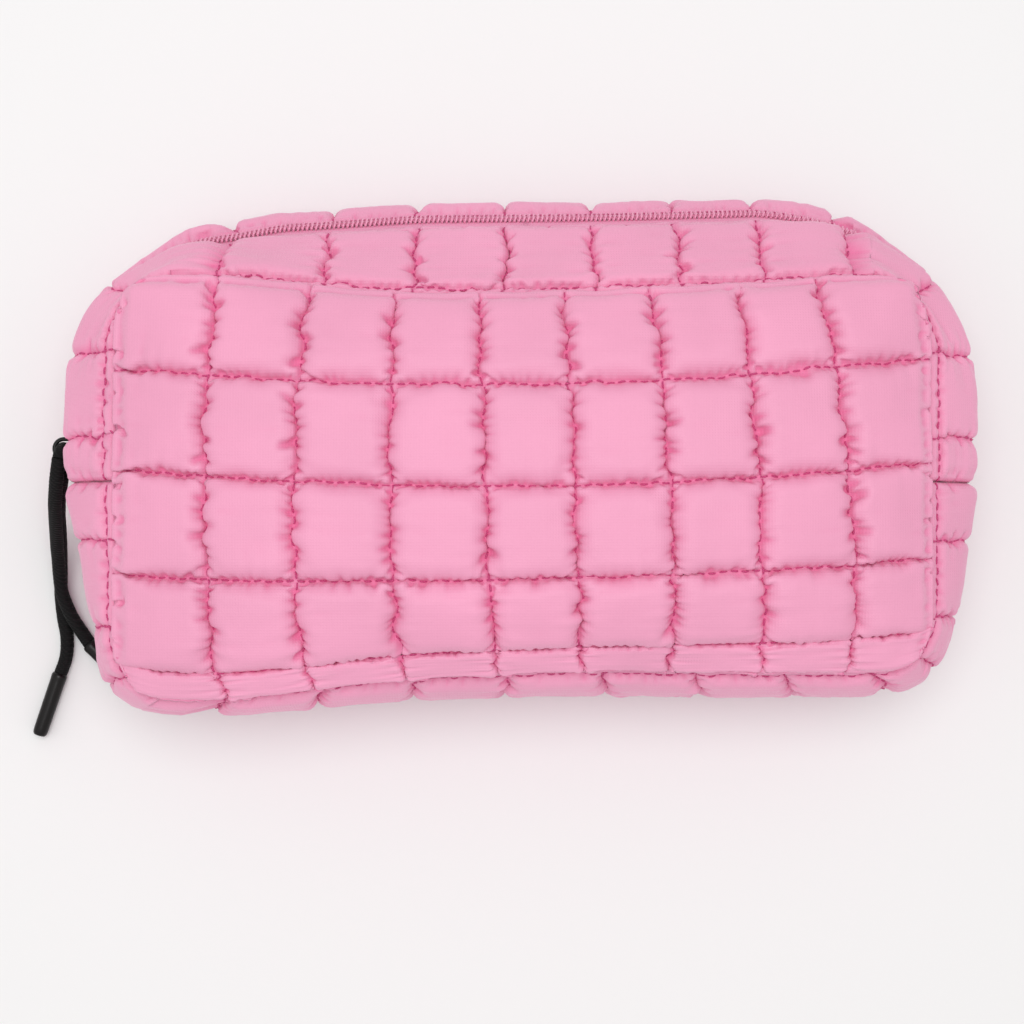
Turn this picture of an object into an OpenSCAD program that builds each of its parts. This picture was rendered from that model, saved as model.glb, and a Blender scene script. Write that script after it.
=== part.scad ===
// Quilted puffer makeup bag, lying on its back panel.
// +Z up (out of the front panel), +Y towards the zip, X along the length.
// The origin is under the middle of the bag, on the surface that it rests on.

/* [Panels] */
// Length of the front and back panels, seam to seam
panel_length = 224; // [200:1:240]
// Radius of the panels' corners at the seam
panel_corner_r = 16; // [12:1:20]
// Height of the front panel's crown above its seam
front_crown = 18; // [8:1:24]
// Place of the base seam, measured from the bag's middle
base_seam_y = 67; // [62:1:70]
// Place of the front panel's zip-side seam, measured from the bag's middle
front_seam_y = 40; // [36:1:46]
// Place of the back panel's zip-side seam, measured from the bag's middle
back_seam_y = 62; // [58:1:66]

/* [Gusset] */
// How far the gusset bulges past the seams at each end
end_bulge = 15; // [8:1:18]
// How far the gusset bulges past the seams at the base
base_bulge = 6.5; // [4:0.5:10]
// How far the gusset bulges past the seams on the zip side
zip_side_bulge = 15; // [10:1:18]
// Height of the front panel's seam above the resting surface
front_seam_z = 55; // [50:1:60]
// Width of the zip's gap, as a share of the gusset's width
zip_gap_share = 0.14; // [0.13:0.01:0.16]
// Y of the join between the zip gusset and the base gusset
join_y = -12; // [-14:1:-10]

/* [Layers] */
// Thickness of the outer nylon
shell_t = 0.55; // [0.4:0.05:0.55]
// Thickness of nylon, wadding and lining together
quilt_t = 5; // [4:0.5:6]
// Thickness of the lining
lining_t = 0.4; // [0.3:0.05:0.5]

/* [Zip] */
// Length of the straight zip opening between the corners
mouth_length = 184; // [160:2:190]
// Width of one coil row
coil_w = 1.5; // [1.2:0.1:1.5]
// Length of the slider
slider_length = 9; // [8:0.5:10]
// Width of the slider
slider_w = 6; // [5:0.5:6]
// Y of the slider where the zip is closed
slider_y = -2; // [-4:0.5:0]

/* [Pull cord] */
// Diameter of the pull cord
cord_d = 4; // [3:0.5:4]
// Diameter of the moulded tips
tip_d = 4.7; // [4:0.1:4.7]

/* [Hidden] */

nylon_pink = [0.94, 0.62, 0.78];
seam_pink = [0.86, 0.45, 0.64];
lining_pink = [0.90, 0.66, 0.76];
wadding_white = [0.95, 0.94, 0.92];
zip_pink = [0.92, 0.58, 0.75];
cord_black = [0.03, 0.03, 0.035];

half_length = panel_length / 2;
layer_gap = 0.05;
piece_gap = 0.3;
back_panel_t = quilt_t - 0.2;
back_seam_z = quilt_t;
front_rim_z = front_seam_z + quilt_t;
crown_power = 3;

// The gusset's width is measured by a share t: 0 at the front seam and 1 at the back seam.
zip_front_t = 0.5 - zip_gap_share / 2;
zip_back_t = 0.5 + zip_gap_share / 2;
front_levels = [for (i = [0:4]) i * zip_front_t / 4];
back_levels = [for (i = [0:4]) zip_back_t + i * (1 - zip_back_t) / 4];
base_levels = [for (i = [0:8]) i / 8];

// Depths below the outer surface at which each layer starts and ends
shell_layer = [0, shell_t];
wadding_layer = [shell_t + layer_gap, quilt_t - lining_t - layer_gap];
lining_layer = [quilt_t - lining_t, quilt_t];
tape_layer = [1.2, 2.0];
coil_layer = [0.6, 2.6];

// Levels of the two tapes and the two coil rows, as shares of the gusset's width
gusset_drop = front_seam_z - back_seam_z;
coil_half_gap = 0.5 / gusset_drop;
coil_share = coil_w / gusset_drop;
tape_gap = 0.1 / gusset_drop;
front_coil_levels = [0.5 - coil_half_gap - coil_share, 0.5 - coil_half_gap];
back_coil_levels = [0.5 + coil_half_gap, 0.5 + coil_half_gap + coil_share];
front_tape_levels = [zip_front_t + tape_gap, front_coil_levels[0] - tape_gap];
back_tape_levels = [back_coil_levels[1] + tape_gap, zip_back_t - tape_gap];

// Outline of the gusset at share t
side_rise = 5;
zip_side_lean = 5;
corner_r_growth = 14;
base_corner_r_growth = 4;
function end_x(t) = half_length + end_bulge * sin(180 * t);
function base_y(t) = -base_seam_y - base_bulge * sin(180 * t);
function seam_shift(t) = front_seam_y + (back_seam_y - front_seam_y) * t;
function zip_side_y(t) = seam_shift(t) + zip_side_bulge * sin(180 * t) - zip_side_lean * sin(360 * t);
function zip_corner_r(t) = panel_corner_r + corner_r_growth * sin(180 * t);
function base_corner_r(t) = panel_corner_r + base_corner_r_growth * sin(180 * t);
function level_z(t) = front_seam_z - gusset_drop * t + side_rise * sin(180 * t);

// A station is a place along the outline: an edge and a distance, or a corner and an angle.
function corner(x_side, y_centre, r, turn, t) = [
    x_side * (end_x(t) - r[0]) + r[1] * cos(turn),
    y_centre + r[1] * sin(turn),
    level_z(t)
];
function gusset_point(station, t, depth) =
    station[0] == "zip_side" ? [station[1], zip_side_y(t) - depth, level_z(t)]
    : station[0] == "right" ? [end_x(t) - depth, station[1], level_z(t)]
    : station[0] == "left" ? [depth - end_x(t), station[1], level_z(t)]
    : station[0] == "zip_corner"
    ? corner(sign(cos(station[1])), zip_side_y(t) - zip_corner_r(t),
             [zip_corner_r(t), zip_corner_r(t) - depth], station[2], t)
    : corner(sign(cos(station[1])), base_y(t) + base_corner_r(t),
             [base_corner_r(t), base_corner_r(t) - depth], station[2], t);

corner_step = 15;
right_zip_corner = [for (turn = [90:-corner_step:0]) ["zip_corner", 0, turn]];
left_zip_corner = [for (turn = [180:-corner_step:90]) ["zip_corner", 180, turn]];
right_base_corner = [for (turn = [0:-corner_step:-90]) ["base_corner", 0, turn]];
left_base_corner = [for (turn = [-90:-corner_step:-180]) ["base_corner", 180, turn]];
mouth_end = (mouth_length + piece_gap) / 2;
flap_end = (mouth_length - piece_gap) / 2;
right_run = concat([["zip_side", mouth_end]], right_zip_corner, [["right", join_y]]);
left_run = concat([["left", join_y]], left_zip_corner, [["zip_side", -mouth_end]]);
flap_run = [["zip_side", -flap_end], ["zip_side", flap_end]];
base_join_y = join_y - piece_gap;
base_run = concat(
    [["right", base_join_y]], right_base_corner, left_base_corner, [["left", base_join_y]]
);

// A closed slab between two grids of points that match one for one
module curved_slab(outer, inner) {
    rows = len(outer);
    columns = len(outer[0]);
    count = rows * columns;
    function at(i, j) = i * columns + j;
    last_row = rows - 1;
    last_column = columns - 1;
    skin = [
        for (i = [0:last_row - 1], j = [0:last_column - 1]) each [
            [at(i, j), at(i, j + 1), at(i + 1, j + 1)],
            [at(i, j), at(i + 1, j + 1), at(i + 1, j)],
            [count + at(i, j), count + at(i + 1, j), count + at(i + 1, j + 1)],
            [count + at(i, j), count + at(i + 1, j + 1), count + at(i, j + 1)]
        ]
    ];
    function rim(from, to) = [[from, to, count + to], [from, count + to, count + from]];
    edges = concat(
        [for (i = [0:last_row - 1]) each rim(at(i, 0), at(i + 1, 0))],
        [for (i = [0:last_row - 1]) each rim(at(i + 1, last_column), at(i, last_column))],
        [for (j = [0:last_column - 1]) each rim(at(0, j + 1), at(0, j))],
        [for (j = [0:last_column - 1]) each rim(at(last_row, j), at(last_row, j + 1))]
    );
    polyhedron(
        points = concat([for (row = outer) each row], [for (row = inner) each row]),
        faces = concat(skin, edges)
    );
}

module gusset_slab(run, levels, layer) {
    curved_slab(
        [for (station = run) [for (t = levels) gusset_point(station, t, layer[0])]],
        [for (station = run) [for (t = levels) gusset_point(station, t, layer[1])]]
    );
}

module both_ends(levels, layer) {
    gusset_slab(left_run, levels, layer);
    gusset_slab(right_run, levels, layer);
}

// Half the panel's length at height y, inside its rounded corners
panel_mid_y = (front_seam_y - base_seam_y) / 2;
panel_half_height = (front_seam_y + base_seam_y) / 2;
function corner_depth(y) =
    max(0, abs(y - panel_mid_y) - (panel_half_height - panel_corner_r));
function panel_reach(y) =
    half_length - panel_corner_r + sqrt(max(0, panel_corner_r ^ 2 - corner_depth(y) ^ 2));
function falloff(share) = 1 - abs(share) ^ crown_power;
function crown_z(x, y) = front_rim_z
    + front_crown * falloff(x / half_length) * falloff((y - panel_mid_y) / panel_half_height);

corner_rows = [for (turn = [0:30:90]) panel_half_height - panel_corner_r * (1 - cos(turn))];
upper_rows = concat(corner_rows, [panel_half_height * 0.45, 0]);
row_heights = concat(upper_rows, [for (i = [len(upper_rows) - 2:-1:0]) -upper_rows[i]]);
column_shares = [for (i = [-6:6]) sin(15 * i)];

module front_panel_slab(layer) {
    function grid(depth) = [
        for (height = row_heights) [
            for (share = column_shares)
                let (y = panel_mid_y + height, x = share * panel_reach(y)) [x, y, crown_z(x, y) - depth]
        ]
    ];
    curved_slab(grid(layer[0]), grid(layer[1]));
}

module rounded_outline(reach, low_y, high_y, r) {
    translate([-reach, low_y + r]) square([2 * reach, high_y - low_y - 2 * r]);
    translate([-reach + r, low_y]) square([2 * (reach - r), high_y - low_y]);
    for (x = [-reach + r, reach - r], y = [low_y + r, high_y - r])
        translate([x, y]) circle(r = r, $fn = 64);
}

module back_panel_plate(layer) {
    translate([0, 0, layer[0]])
        linear_extrude(layer[1] - layer[0])
            rounded_outline(half_length, -base_seam_y, back_seam_y, panel_corner_r);
}

// Inner tape that covers a seam's raw edges
binding_depth = quilt_t + 0.4;
binding_t = 1.2;
binding_w = 8;
module binding_ring(high_y, low_z) {
    function inset(depth) = [half_length - depth, depth - base_seam_y, high_y - depth, panel_corner_r - depth];
    module outline(edge) { rounded_outline(edge[0], edge[1], edge[2], edge[3]); }
    translate([0, 0, low_z])
        linear_extrude(binding_w)
            difference() {
                outline(inset(binding_depth));
                outline(inset(binding_depth + binding_t));
            }
}

// Panels
module front_panel_shell() { color(nylon_pink) front_panel_slab(shell_layer); }
module front_panel_wadding() { color(wadding_white) front_panel_slab(wadding_layer); }
module front_panel_lining() {
    color(lining_pink) front_panel_slab([lining_layer[0], lining_layer[1] - 2 * layer_gap]);
}
module back_panel_shell() { color(nylon_pink) back_panel_plate([0, shell_t]); }
module back_panel_wadding() {
    color(wadding_white) back_panel_plate([shell_t + layer_gap, back_panel_t - lining_t - layer_gap]);
}
module back_panel_lining() { color(lining_pink) back_panel_plate([back_panel_t - lining_t, back_panel_t]); }

// Base gusset
module base_gusset_shell() { color(nylon_pink) gusset_slab(base_run, base_levels, shell_layer); }
module base_gusset_wadding() { color(wadding_white) gusset_slab(base_run, base_levels, wadding_layer); }
module base_gusset_lining() { color(lining_pink) gusset_slab(base_run, base_levels, lining_layer); }

// Zip gusset strips: their two ends stay with the bag, and the stretch between is a flap
module front_strip_ends_shell() { color(nylon_pink) both_ends(front_levels, shell_layer); }
module front_strip_ends_wadding() { color(wadding_white) both_ends(front_levels, wadding_layer); }
module front_strip_ends_lining() { color(lining_pink) both_ends(front_levels, lining_layer); }
module back_strip_ends_shell() { color(nylon_pink) both_ends(back_levels, shell_layer); }
module back_strip_ends_wadding() { color(wadding_white) both_ends(back_levels, wadding_layer); }
module back_strip_ends_lining() { color(lining_pink) both_ends(back_levels, lining_layer); }
module front_flap_shell() { color(nylon_pink) gusset_slab(flap_run, front_levels, shell_layer); }
module front_flap_wadding() { color(wadding_white) gusset_slab(flap_run, front_levels, wadding_layer); }
module front_flap_lining() { color(lining_pink) gusset_slab(flap_run, front_levels, lining_layer); }
module back_flap_shell() { color(nylon_pink) gusset_slab(flap_run, back_levels, shell_layer); }
module back_flap_wadding() { color(wadding_white) gusset_slab(flap_run, back_levels, wadding_layer); }
module back_flap_lining() { color(lining_pink) gusset_slab(flap_run, back_levels, lining_layer); }

// Zip tapes and coils
module front_tape_ends() { color(zip_pink) both_ends(front_tape_levels, tape_layer); }
module back_tape_ends() { color(zip_pink) both_ends(back_tape_levels, tape_layer); }
module front_flap_tape() { color(zip_pink) gusset_slab(flap_run, front_tape_levels, tape_layer); }
module back_flap_tape() { color(zip_pink) gusset_slab(flap_run, back_tape_levels, tape_layer); }
module front_coil_ends() { color(seam_pink) both_ends(front_coil_levels, coil_layer); }
module back_coil_ends() { color(seam_pink) both_ends(back_coil_levels, coil_layer); }
module front_flap_coil() { color(seam_pink) gusset_slab(flap_run, front_coil_levels, coil_layer); }
module back_flap_coil() { color(seam_pink) gusset_slab(flap_run, back_coil_levels, coil_layer); }

// Seam bindings
module front_seam_binding() { color(seam_pink) binding_ring(front_seam_y, front_seam_z - binding_w - 1); }
module back_seam_binding() { color(seam_pink) binding_ring(back_seam_y, back_panel_t + 0.2); }

// Zip stops, clamped over the ends of the coil
zip_x = end_x(0.5);
zip_z = level_z(0.5);
stop_size = [0.8, 2, 5];
stop_x = zip_x - 0.5;
stop_y = join_y + 0.4;
module zip_stop_right() {
    color(seam_pink)
        translate([stop_x, stop_y, zip_z - stop_size.z / 2])
            cube(stop_size);
}
module zip_stop_left() { mirror([1, 0, 0]) zip_stop_right(); }

// Slider, placed on the left end with its outer plate facing -X
plate_t = 1.1;
inner_plate_t = 0.9;
outer_plate_x = -0.9;
inner_plate_x = 3;
rail_w = 0.7;
rail_depth = 0.65;
post_size = [3.4, 1.6, 0.4];
post_y = 2.2;
plate_corner_r = 1.5;

module slider_plate(x, thickness) {
    translate([x, 0, 0])
        rotate([90, 0, 90])
            linear_extrude(thickness) {
                square([slider_length - 2 * plate_corner_r, slider_w], center = true);
                square([slider_length, slider_w - 2 * plate_corner_r], center = true);
                for (y = [-1, 1], z = [-1, 1])
                    translate([
                        y * (slider_length / 2 - plate_corner_r),
                        z * (slider_w / 2 - plate_corner_r)
                    ])
                        circle(r = plate_corner_r, $fn = 32);
            }
}

module slider_place() { translate([-zip_x, slider_y, zip_z]) children(); }

module slider_body() {
    rail_length = slider_length - 2 * plate_corner_r;
    color(seam_pink)
        slider_place() {
            slider_plate(outer_plate_x, plate_t);
            slider_plate(inner_plate_x, inner_plate_t);
            translate([-0.1, post_y, -post_size.z / 2]) cube(post_size);
            for (side = [0, 1])
                mirror([0, 0, side])
                    translate([0, -rail_length / 2, slider_w / 2 - rail_w])
                        cube([0.2 + rail_depth, rail_length, rail_w]);
        }
}

// Bail on the slider's outer plate, which the cord passes through
bail_bar = 1;
bail_h = 1.4;
bail_room = [cord_d + 0.5, cord_d + 0.6];
module slider_bail() {
    reach = bail_room.x + bail_bar;
    span = bail_room.y + 2 * bail_bar;
    color(seam_pink)
        slider_place()
            translate([outer_plate_x - reach, -span / 2, -bail_h / 2])
                difference() {
                    cube([reach, span, bail_h]);
                    translate([bail_bar, bail_bar, -1])
                        cube([reach, bail_room.y, bail_h + 2]);
                }
}

// Pull cord, folded through the bail, with both legs down to the resting surface
swing_x = -zip_x + outer_plate_x - bail_room.x / 2;
fold_r = 3;
fold_dir = [-sin(11.3), -cos(11.3), 0];
fold_side = [fold_dir.y, -fold_dir.x, 0];
fold_centre = [swing_x, slider_y, zip_z] + fold_r * fold_dir;
fold_route = [
    for (turn = [-90:22.5:90])
        fold_centre - fold_r * cos(turn) * fold_dir + [0, 0, fold_r * sin(turn)]
];
leg_a_start = fold_centre - [0, 0, fold_r];
leg_b_start = fold_centre + [0, 0, fold_r];

// Each leg's route in millimetres, from the fold to its tip
leg_a_route = [
    leg_a_start,
    [-131.3, -7.7, 31.4], [-132, -10.5, 30], [-134, -16, 25], [-134.9, -18.5, 21.6],
    [-135.8, -21, 18], [-137.2, -26, 11], [-138.4, -31.5, 5.4], [-138.8, -34.6, 3.6],
    [-139, -38, 2.6], [-139.1, -41.5, 2.1], [-139, -45, 2], [-138.2, -51.5, 2],
    [-137.2, -57, 2], [-137.4, -63, 2], [-139.4, -69, 2]
];
leg_b_route = [
    leg_b_start,
    [-131.3, -8.2, 37.4], [-132, -11.4, 36], [-133.6, -17, 31], [-134.4, -19.7, 27.6],
    [-135.2, -22.4, 24], [-136.6, -27.6, 17.2], [-137.2, -30.2, 14.2], [-137.6, -33, 11.4],
    [-137.9, -36, 9.3], [-138, -39, 7.8], [-137.8, -42, 7], [-137.2, -45, 6.4],
    [-135.2, -50.6, 4.7], [-132.6, -55.4, 2.8], [-129.8, -59.8, 2]
];
tip_a_dir = [-6, -18, 0] / norm([-6, -18, 0]);
tip_b_dir = [13, -13, 0] / norm([13, -13, 0]);
tip_length = 19;
tube_sides = 8;

function unit(v) = v / norm(v);
function tangent(route, i) =
    unit(route[min(i + 1, len(route) - 1)] - route[max(i - 1, 0)]);
function ring(centre, direction, r) =
    let (across = unit(fold_side - (fold_side * direction) * direction))
    let (over = cross(direction, across))
    [for (k = [0:tube_sides - 1])
        let (turn = 360 * (k + 0.5) / tube_sides)
        centre + r * (cos(turn) * across + sin(turn) * over)];

module tube(route, first_dir, last_dir, d) {
    last = len(route) - 1;
    function direction(i) = i == 0 ? first_dir : i == last ? last_dir : tangent(route, i);
    points = [for (i = [0:last]) each ring(route[i], direction(i), d / 2)];
    function at(i, k) = i * tube_sides + k % tube_sides;
    sides = [
        for (i = [0:last - 1], k = [0:tube_sides - 1]) each [
            [at(i, k), at(i, k + 1), at(i + 1, k + 1)],
            [at(i, k), at(i + 1, k + 1), at(i + 1, k)]
        ]
    ];
    first_cap = [for (k = [tube_sides - 1:-1:0]) k];
    last_cap = [for (k = [0:tube_sides - 1]) at(last, k)];
    polyhedron(points = points, faces = concat(sides, [first_cap, last_cap]));
}

module cord_bight() { color(cord_black) tube(fold_route, -fold_dir, fold_dir, cord_d); }
module pull_cord_leg_a() { color(cord_black) tube(leg_a_route, fold_dir, tip_a_dir, cord_d); }
module pull_cord_leg_b() { color(cord_black) tube(leg_b_route, fold_dir, tip_b_dir, cord_d); }

module cord_tip(route, direction) {
    start = route[len(route) - 1];
    bearing = atan2(direction.y, direction.x);
    straight = tip_length - tip_d / 2;
    color(cord_black)
        translate([start.x, start.y, tip_d / 2])
            rotate([0, 90, bearing]) {
                translate([0, 0, 0.1]) cylinder(d = tip_d, h = straight - 0.1, $fn = 48);
                translate([0, 0, straight]) sphere(d = tip_d, $fn = 48);
            }
}
module cord_tip_a() { cord_tip(leg_a_route, tip_a_dir); }
module cord_tip_b() { cord_tip(leg_b_route, tip_b_dir); }

front_panel_shell();
front_panel_wadding();
front_panel_lining();
back_panel_shell();
back_panel_wadding();
back_panel_lining();
base_gusset_shell();
base_gusset_wadding();
base_gusset_lining();
front_strip_ends_shell();
front_strip_ends_wadding();
front_strip_ends_lining();
back_strip_ends_shell();
back_strip_ends_wadding();
back_strip_ends_lining();
front_flap_shell();
front_flap_wadding();
front_flap_lining();
back_flap_shell();
back_flap_wadding();
back_flap_lining();
front_tape_ends();
back_tape_ends();
front_flap_tape();
back_flap_tape();
front_coil_ends();
back_coil_ends();
front_flap_coil();
back_flap_coil();
front_seam_binding();
back_seam_binding();
zip_stop_left();
zip_stop_right();
slider_body();
slider_bail();
cord_bight();
pull_cord_leg_a();
pull_cord_leg_b();
cord_tip_a();
cord_tip_b();
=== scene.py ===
"""The looks of a quilted puffer makeup bag that lies on its back panel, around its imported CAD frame.

Shapes are worked out in millimetres in the frame's own axes (+Z up, +Y towards the zip) and become
metres when a mesh is made. Each quilted piece is a grid of cloth, pinned along its stitches and seams,
cut longer than the lines it is sewn to, and blown up by a small cloth solver until it is taut.
"""
import math

import bpy
import numpy as np
from mathutils import Matrix, Vector


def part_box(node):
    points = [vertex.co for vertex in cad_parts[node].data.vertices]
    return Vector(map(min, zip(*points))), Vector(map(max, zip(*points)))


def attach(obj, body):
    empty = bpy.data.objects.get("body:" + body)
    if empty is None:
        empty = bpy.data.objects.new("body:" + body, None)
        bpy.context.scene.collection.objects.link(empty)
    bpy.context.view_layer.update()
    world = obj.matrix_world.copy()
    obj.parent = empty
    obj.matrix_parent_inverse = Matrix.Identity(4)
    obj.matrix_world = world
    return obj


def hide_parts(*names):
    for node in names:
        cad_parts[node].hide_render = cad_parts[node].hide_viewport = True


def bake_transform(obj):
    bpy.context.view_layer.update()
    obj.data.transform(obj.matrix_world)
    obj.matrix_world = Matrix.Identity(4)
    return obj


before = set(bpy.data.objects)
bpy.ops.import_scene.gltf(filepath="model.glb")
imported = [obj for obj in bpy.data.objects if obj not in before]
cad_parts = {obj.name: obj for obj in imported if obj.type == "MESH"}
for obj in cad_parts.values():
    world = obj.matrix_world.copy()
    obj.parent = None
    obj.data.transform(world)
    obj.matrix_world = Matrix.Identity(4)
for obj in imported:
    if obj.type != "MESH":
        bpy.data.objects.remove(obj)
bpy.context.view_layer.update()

MM = 0.001
SEED = 11

# ---------------------------------------------------------------- the bag's sizes, in mm
HALF_LENGTH = 112.0       # half the panels' length at the seam
FRONT_SEAM_Z = 57.0       # the front seam's height
BACK_SEAM_Z = 5.5         # the back seam's height
FRONT_SEAM_Y = 40.0       # the front seam on the zip side
BACK_SEAM_Y = 62.0        # the back seam on the zip side
BASE_SEAM_Y = -67.0       # both seams on the base side
CORNER_R = 16.0           # the panels' corner radius
CROWN = 14.0              # the front panel's crown above its seam
JOIN_Y = -12.0            # where the zip gusset meets the base gusset
ZIP_EDGE = 0.46           # the front strip's zip edge, as a share of the gusset's width
ZIP_EDGE_BACK = 0.57      # the back strip's zip edge
GUSSET_LOWEST = 0.3       # how near the resting face a gusset's cloth may come
FULL_PUFF_X = 96.0        # past this, cells puff less, towards the bag's ends
END_PUFF = 0.6            # how much they puff there, as a share

# where a zip strip leaves the bag's end, and where it is wholly on the flap, in metres
BEND_FROM_X, BEND_TO_X = 0.100, 0.070
BEND_Y, BEND_Z = 0.04, 0.03


# the camera, in metres, fitted to the photo's outline and rounded
LENS = 58.4
EYE = (-0.0095, -0.0325, 0.508)
AIM = (-0.0029, -0.0201, 0.040)


# ---------------------------------------------------------------- small helpers
def lerp(a, b, f):
    return a + (b - a) * f


def smooth_step(x):
    x = np.clip(x, 0.0, 1.0)
    return x * x * (3 - 2 * x)


def three_point(left, middle, right, f):
    """A parabola through three values at f = 0, 0.5 and 1."""
    return left * (1 - f) * (1 - 2 * f) + 4 * middle * f * (1 - f) + right * f * (2 * f - 1)


def unit(v):
    return v / np.maximum(np.linalg.norm(v, axis=-1, keepdims=True), 1e-9)


def smooth_noise(rng, shape, spread_rows, spread_columns):
    """Seeded noise of about unit size, blurred over so many rows and columns."""
    noise = rng.standard_normal(shape)
    for axis, spread in ((0, spread_rows), (1, spread_columns)):
        reach = int(math.ceil(2.5 * spread))
        kernel = np.exp(-0.5 * (np.arange(-reach, reach + 1) / max(spread, 0.3)) ** 2)
        kernel /= np.sqrt((kernel**2).sum())
        pad = [(reach, reach) if a == axis else (0, 0) for a in (0, 1)]
        padded = np.pad(noise, pad, mode="reflect")
        noise = np.apply_along_axis(np.convolve, axis, padded, kernel, mode="valid")
    return noise


def grid_normals(points):
    return unit(np.cross(np.gradient(points, axis=1), np.gradient(points, axis=0)))


# ---------------------------------------------------------------- camera, light and floor
def make_camera():
    data = bpy.data.cameras.new("camera")
    data.lens = LENS
    data.sensor_width = 36.0
    camera = bpy.data.objects.new("camera", data)
    bpy.context.collection.objects.link(camera)
    eye, aim = Vector(EYE), Vector(AIM)
    back = (eye - aim).normalized()
    right = Vector((0, 1, 0)).cross(back).normalized()
    up = back.cross(right)
    camera.matrix_world = Matrix(
        (
            (right.x, up.x, back.x, eye.x),
            (right.y, up.y, back.y, eye.y),
            (right.z, up.z, back.z, eye.z),
            (0, 0, 0, 1),
        )
    )
    data.clip_start = 0.01
    bpy.context.scene.camera = camera


def make_area_light(name, place, aim, size, power):
    data = bpy.data.lights.new(name, "AREA")
    data.shape = "DISK"
    data.size = size
    data.energy = power
    light = bpy.data.objects.new(name, data)
    light.location = place
    light.rotation_euler = (Vector(aim) - Vector(place)).to_track_quat("-Z", "Y").to_euler()
    bpy.context.collection.objects.link(light)


def make_stage():
    bpy.context.scene.view_settings.view_transform = "Standard"
    world = bpy.data.worlds.new("studio")
    bpy.context.scene.world = world
    world.use_nodes = True
    background = world.node_tree.nodes["Background"]
    set_inputs(background, {"Color": (1.0, 0.985, 0.98, 1), "Strength": 0.72})
    make_area_light("key", (-0.03, 0.08, 0.95), (0, -0.02, 0.03), 0.6, 3.6)
    make_area_light("fill", (-0.6, -0.1, 0.7), (0, 0, 0.03), 0.6, 0.25)
    mesh = bpy.data.meshes.new("floor")
    half = 3.0
    corners = [(-half, -half, 0), (half, -half, 0), (half, half, 0), (-half, half, 0)]
    mesh.from_pydata(corners, [], [(0, 1, 2, 3)])
    floor = bpy.data.objects.new("floor", mesh)
    bpy.context.collection.objects.link(floor)
    material, _ = new_material("floor_paint", (0.86, 0.86, 0.86), 0.7)
    mesh.materials.append(material)


# ---------------------------------------------------------------- materials
def new_material(name, colour, roughness):
    material = bpy.data.materials.new(name)
    material.use_nodes = True
    shader = material.node_tree.nodes["Principled BSDF"]
    shader.inputs["Base Color"].default_value = (*colour, 1)
    shader.inputs["Roughness"].default_value = roughness
    return material, shader


def set_inputs(holder, values):
    for key, value in values.items():
        holder.inputs[key].default_value = value


def node(material, kind, **settings):
    made = material.node_tree.nodes.new(kind)
    for key, value in settings.items():
        if key in made.inputs:
            made.inputs[key].default_value = value
        else:
            setattr(made, key, value)
    return made


def link(material, source, target):
    material.node_tree.links.new(source, target)


def object_coordinates(material):
    return node(material, "ShaderNodeTexCoord").outputs["Object"]


def noise(material, place, **settings):
    made = node(material, "ShaderNodeTexNoise", **settings)
    link(material, place, made.inputs["Vector"])
    return made.outputs["Fac"]


def wave(material, place, direction, **settings):
    made = node(material, "ShaderNodeTexWave", bands_direction=direction, **settings)
    link(material, place, made.inputs["Vector"])
    return made.outputs["Fac"]


def combine(material, operation, first, second):
    made = node(material, "ShaderNodeMath", operation=operation)
    link(material, first, made.inputs[0])
    link(material, second, made.inputs[1])
    return made.outputs["Value"]


def vary_roughness(material, shader, source, low, high):
    made = node(material, "ShaderNodeMapRange")
    set_inputs(made, {"To Min": low, "To Max": high})
    link(material, source, made.inputs["Value"])
    link(material, made.outputs["Result"], shader.inputs["Roughness"])


def add_bump(material, target, source, strength, distance):
    """A bump whose normal goes to target. Returns the bump, so that a finer one can go under it."""
    made = node(material, "ShaderNodeBump", Strength=strength, Distance=distance)
    link(material, source, made.inputs["Height"])
    link(material, made.outputs["Normal"], target.inputs["Normal"])
    return made


def ramp(material, source, low, high, low_at=0.0, high_at=1.0):
    made = node(material, "ShaderNodeValToRGB")
    made.color_ramp.elements[0].position = low_at
    made.color_ramp.elements[0].color = (*low, 1)
    made.color_ramp.elements[1].position = high_at
    made.color_ramp.elements[1].color = (*high, 1)
    link(material, source, made.inputs["Fac"])
    return made.outputs["Color"]


def nylon_material(name, light, shade_colour, weave_depth=0.4):
    """Taffeta: a fine weave, a soft sheen, slow colour drift, and painted shade along the stitches and in
    creases.
    """
    material, shader = new_material(name, light, 0.5)
    place = object_coordinates(material)
    drift = noise(material, place, Scale=28.0, Detail=3.0, Roughness=0.55)
    base = ramp(material, drift, [c * 0.93 for c in light], light, 0.3, 0.7)
    # Painted shade: the colour is mixed towards a darker pink along the stitch lines and down in the creases.
    painted_shade = node(material, "ShaderNodeAttribute", attribute_name="painted_shade")
    mix = node(material, "ShaderNodeMix", data_type="RGBA")
    link(material, painted_shade.outputs["Fac"], mix.inputs["Factor"])
    link(material, base, mix.inputs["A"])
    mix.inputs["B"].default_value = (*shade_colour, 1)
    link(material, mix.outputs["Result"], shader.inputs["Base Color"])
    set_inputs(shader, {"Sheen Weight": 0.25, "Sheen Roughness": 0.45})
    set_inputs(shader, {"Sheen Tint": (1.0, 0.75, 0.87, 1), "Specular IOR Level": 0.35})
    vary_roughness(material, shader, drift, 0.44, 0.58)
    detail = {"Detail Scale": 3.0}
    warp = wave(material, place, "X", Scale=420.0, Distortion=0.6, **detail)
    weft = wave(material, place, "Y", Scale=420.0, Distortion=0.6, **detail)
    weave = combine(material, "MAXIMUM", warp, weft)
    crinkle = noise(material, place, Scale=260.0, Detail=4.0, Roughness=0.6)
    coarse = add_bump(material, shader, crinkle, 0.35, 0.0004)
    add_bump(material, coarse, weave, weave_depth, 0.00016)
    return material


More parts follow.
